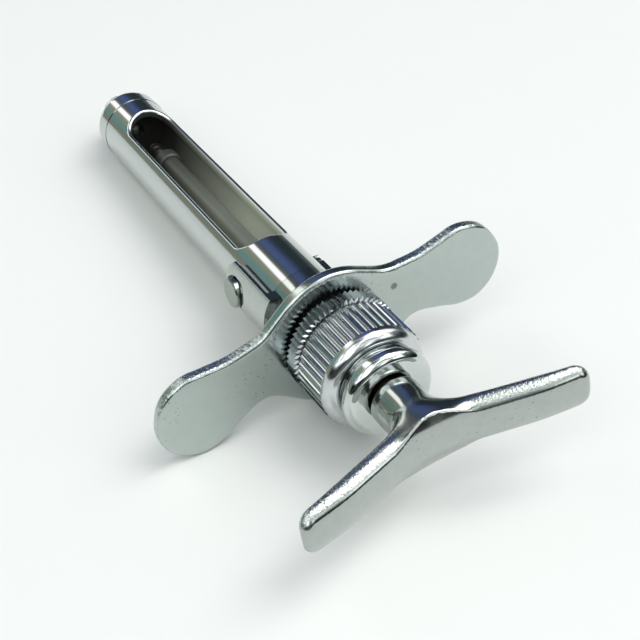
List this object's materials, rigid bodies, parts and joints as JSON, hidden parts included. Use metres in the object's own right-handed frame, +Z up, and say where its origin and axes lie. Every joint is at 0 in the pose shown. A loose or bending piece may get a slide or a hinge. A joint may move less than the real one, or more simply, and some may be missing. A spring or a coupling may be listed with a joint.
{
  "type": "aspirating dental syringe",
  "caption": "Chromed cartridge syringe with a side-opening barrel that tilts on a forked hub, finger wings, knurled sleeve and a plunger with a palm handle.",
  "frame": {"origin": "centre of the front face that the dental needle screws up to, on the barrel axis", "axes": "+X along the barrel axis towards the needle, +Y along the left finger wing, +Z up out of the loading window"},
  "size_m": [0.1141, 0.057, 0.025],
  "materials": {
    "polished_chrome": "polished chrome",
    "satin_chrome": "satin chrome",
    "knurled_chrome": "chrome over knurling",
    "spring_steel": "drawn wire",
    "plain_steel": "turned steel",
    "brass_bush": "turned brass",
    "seal_rubber": "moulded rubber"
  },
  "bodies": {
    "hub": {"hub_yoke": "polished_chrome", "pivot_rivets": "polished_chrome", "spring_seat": "plain_steel", "front_guide": "brass_bush", "knurled_sleeve": "knurled_chrome", "rod_seal": "seal_rubber", "seal_washer": "plain_steel", "end_cap": "polished_chrome", "rod_guide": "brass_bush", "thrust_spring": "spring_steel"},
    "barrel": {"barrel_tube": "polished_chrome", "front_cap": "polished_chrome", "needle_adaptor": "polished_chrome"},
    "plunger": {"plunger_rod": "polished_chrome", "piston": "polished_chrome", "harpoon": "plain_steel"},
    "handle": {"palm_handle": "polished_chrome"},
    "thrust": {"thrust_bush": "plain_steel"},
    "wings": {"finger_flange": "satin_chrome"},
    "ring": {"lock_ring": "knurled_chrome"}
  },
  "joints": [
    {"name": "barrel_tilt", "type": "hinge", "parent": "hub", "child": "barrel", "pos_m": [-0.0612, 0, -0.0001], "axis": [0, 1, 0], "range_deg": [0, 22]},
    {"name": "plunger_slide", "type": "slide", "parent": "hub", "child": "plunger", "axis": [-1, 0, 0], "range_m": [0, 0.058]},
    {"name": "handle_turn", "type": "hinge", "parent": "plunger", "child": "handle", "pos_m": [-0.099, 0, 0], "axis": [1, 0, 0], "continuous": true},
    {"name": "thrust_slide", "type": "slide", "parent": "hub", "child": "thrust", "axis": [-1, 0, 0], "range_m": [0, 0.0018], "stiffness_N_per_m": 3000, "springref_m": -0.001, "deforming": ["thrust_spring"]},
    {"name": "wing_turn", "type": "hinge", "parent": "hub", "child": "wings", "pos_m": [-0.0778, 0, 0], "axis": [1, 0, 0], "continuous": true},
    {"name": "lock_ring_turn", "type": "hinge", "parent": "hub", "child": "ring", "pos_m": [-0.0804, 0, 0], "axis": [1, 0, 0], "continuous": true}
  ]
}
